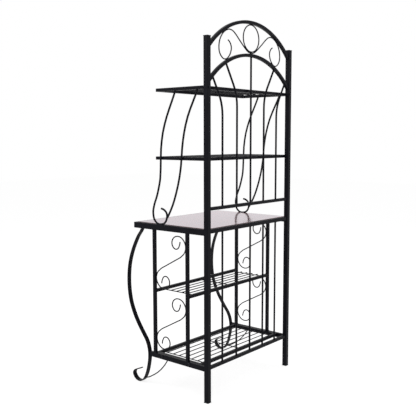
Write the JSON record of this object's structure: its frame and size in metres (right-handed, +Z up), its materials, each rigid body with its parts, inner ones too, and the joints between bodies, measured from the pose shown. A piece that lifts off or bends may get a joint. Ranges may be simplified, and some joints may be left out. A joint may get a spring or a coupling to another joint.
{
  "type": "bakers rack",
  "caption": "Free-standing black steel bakers rack with an arched scrollwork back, wire shelves and an inset high-gloss worktop",
  "frame": {"origin": "on the floor, under the middle of the rack's bounding box", "axes": "+X to the right of someone facing the rack's front, -Y towards the front, +Y towards the arched back, +Z up"},
  "size_m": [0.717, 0.559, 1.863],
  "materials": {
    "powder_coat": "satin black powder coat on steel tube, rod and wire",
    "plastic_cap": "moulded black plastic",
    "bolt": "blackened steel",
    "worktop_board": "high-gloss lacquered cherry-coloured board"
  },
  "bodies": {
    "root": {"bottom_back_rail": "powder_coat", "bottom_shelf": "powder_coat", "bottom_shelf_bolt_front_left": "bolt", "bottom_shelf_bolt_front_right": "bolt", "bottom_shelf_bolt_rear_left": "bolt", "bottom_shelf_bolt_rear_right": "bolt", "bottom_side_rail_left": "powder_coat", "bottom_side_rail_right": "powder_coat", "bow_rod_front_left": "powder_coat", "bow_rod_front_right": "powder_coat", "bow_rod_rear_left": "powder_coat", "bow_rod_rear_right": "powder_coat", "crest_ring": "powder_coat", "crest_scroll": "powder_coat", "cross_rail": "powder_coat", "foot_brace_left": "powder_coat", "foot_brace_right": "powder_coat", "front_leg_left": "powder_coat", "front_leg_right": "powder_coat", "inner_arch": "powder_coat", "lower_bar_1": "powder_coat", "lower_bar_2": "powder_coat", "lower_bar_3": "powder_coat", "lower_bar_4": "powder_coat", "lower_bar_5": "powder_coat", "lower_post_left": "powder_coat", "lower_post_right": "powder_coat", "lower_shelf": "powder_coat", "mid_shelf": "powder_coat", "outer_arch": "powder_coat", "post_cap_left": "plastic_cap", "post_cap_right": "plastic_cap", "post_foot_left": "plastic_cap", "post_foot_right": "plastic_cap", "post_sleeve_left": "powder_coat", "post_sleeve_right": "powder_coat", "side_scroll_lower_left": "powder_coat", "side_scroll_lower_right": "powder_coat", "side_scroll_upper_left": "powder_coat", "side_scroll_upper_right": "powder_coat", "side_tube_front_left": "powder_coat", "side_tube_front_right": "powder_coat", "side_tube_rear_left": "powder_coat", "side_tube_rear_right": "powder_coat", "top_shelf": "powder_coat", "top_shelf_bolt_left": "bolt", "top_shelf_bolt_right": "bolt", "upper_bar_1": "powder_coat", "upper_bar_2": "powder_coat", "upper_bar_3": "powder_coat", "upper_bar_4": "powder_coat", "upper_bar_5": "powder_coat", "upper_post_left": "powder_coat", "upper_post_right": "powder_coat", "worktop_back_rail": "powder_coat", "worktop_board": "worktop_board", "worktop_front_rail": "powder_coat", "worktop_side_rail_left": "powder_coat", "worktop_side_rail_right": "powder_coat"}
  },
  "joints": []
}
